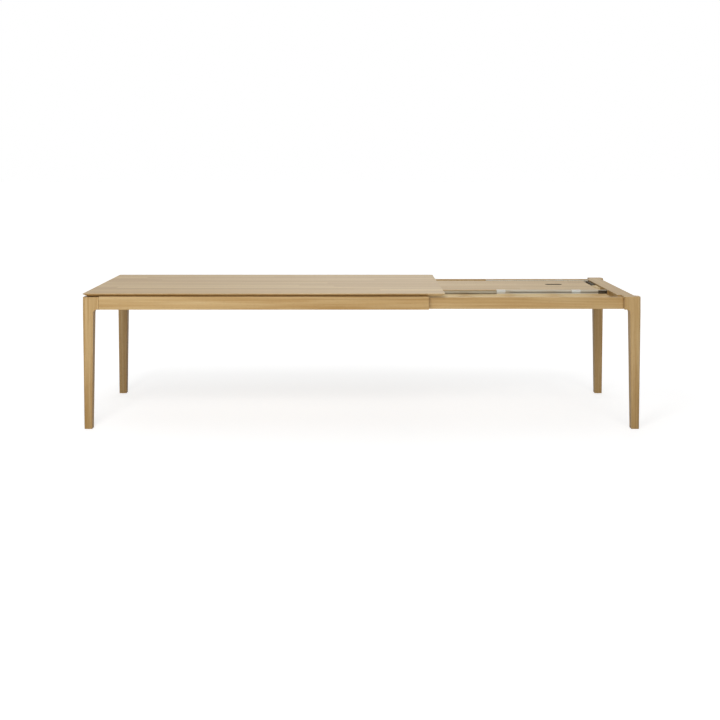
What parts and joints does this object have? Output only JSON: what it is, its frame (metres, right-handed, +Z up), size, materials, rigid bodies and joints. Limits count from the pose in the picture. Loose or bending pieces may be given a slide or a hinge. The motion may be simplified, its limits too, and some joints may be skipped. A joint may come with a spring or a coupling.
{
  "type": "extendable dining table",
  "caption": "Light oak extendable dining table with bevelled top, tapered legs, pull-out frame, steel slide bars and folded extension leaf.",
  "frame": {"origin": "on the floor, under the middle of the drawn-out table", "axes": "+X along the table towards the pull-out end, +Z up, front of the table towards -Y"},
  "size_m": [3.08, 1, 0.75],
  "materials": {
    "oak": "clear matt lacquer over light oak veneer and solid oak",
    "beech": "planed, unfinished",
    "aluminium": "extruded, natural anodised",
    "drawn_steel": "cold drawn, lightly oiled",
    "zinc_steel": "zinc plated",
    "white_nylon": "moulded, slightly waxy",
    "black_plastic": "moulded, fine texture",
    "bronze": "dark bronze lacquer",
    "brass": "plain turned brass",
    "felt": "pressed wool felt"
  },
  "bodies": {
    "fixed_frame": {"tabletop": "oak", "leg_front_left": "oak", "leg_rear_left": "oak", "outer_apron_front": "oak", "outer_apron_rear": "oak", "end_apron_left": "oak", "fixed_cross_rail": "oak", "corner_blocks_left": "beech", "slide_bearer_front": "beech", "slide_bearer_rear": "beech", "slide_channel_front": "zinc_steel", "slide_channel_rear": "zinc_steel", "foot_glides_left": "black_plastic", "apron_dowels_left": "beech", "fixed_rail_dowels": "beech", "top_screws": "zinc_steel", "small_screws": "zinc_steel", "leg_bolts_left": "zinc_steel", "leg_nuts_left": "zinc_steel", "fixed_buttons": "white_nylon", "leaf_keepers": "zinc_steel", "closing_bumpers": "felt"},
    "pull_out_frame": {"leg_front_right": "oak", "leg_rear_right": "oak", "inner_apron_front": "oak", "inner_apron_rear": "oak", "end_apron_right": "oak", "end_cleat": "oak", "corner_blocks_right": "beech", "bay_rail_1": "oak", "bay_rail_2": "oak", "bay_rail_3": "oak", "bay_rail_4": "oak", "bay_rail_5": "oak", "bay_rail_6": "oak", "leaf_rail_front": "aluminium", "leaf_rail_rear": "aluminium", "rail_bearer_front": "beech", "rail_bearer_rear": "beech", "rail_end_shoes": "black_plastic", "leaf_lower_half": "oak", "leaf_upper_half": "oak", "finger_pull": "bronze", "leaf_rest_strips": "felt", "leaf_stops": "beech", "foot_glides_right": "black_plastic", "apron_dowels_right": "beech", "bay_rail_dowels": "beech", "cleat_screws": "zinc_steel", "rail_screws": "zinc_steel", "leg_bolts_right": "zinc_steel", "leg_nuts_right": "zinc_steel", "pull_out_buttons": "white_nylon", "bearer_screws": "zinc_steel", "rail_pads": "white_nylon", "leaf_felt_dots": "felt", "leaf_hinge_barrels": "brass", "leaf_hinge_links": "black_plastic"},
    "slide_bar_front": {"slide_bar_front": "drawn_steel"},
    "slide_bar_rear": {"slide_bar_rear": "drawn_steel"}
  },
  "joints": [
    {"name": "frame_slide", "type": "slide", "parent": "fixed_frame", "child": "pull_out_frame", "axis": [1, 0, 0], "range_m": [-1.08, 0]},
    {"name": "front_bar_slide", "type": "slide", "parent": "fixed_frame", "child": "slide_bar_front", "axis": [1, 0, 0], "range_m": [-0.54, 0]},
    {"name": "rear_bar_slide", "type": "slide", "parent": "fixed_frame", "child": "slide_bar_rear", "axis": [1, 0, 0], "range_m": [-0.54, 0]}
  ],
  "couplings": [
    {"joint": "front_bar_slide", "follows": "frame_slide", "ratio": 0.5},
    {"joint": "rear_bar_slide", "follows": "frame_slide", "ratio": 0.5}
  ]
}
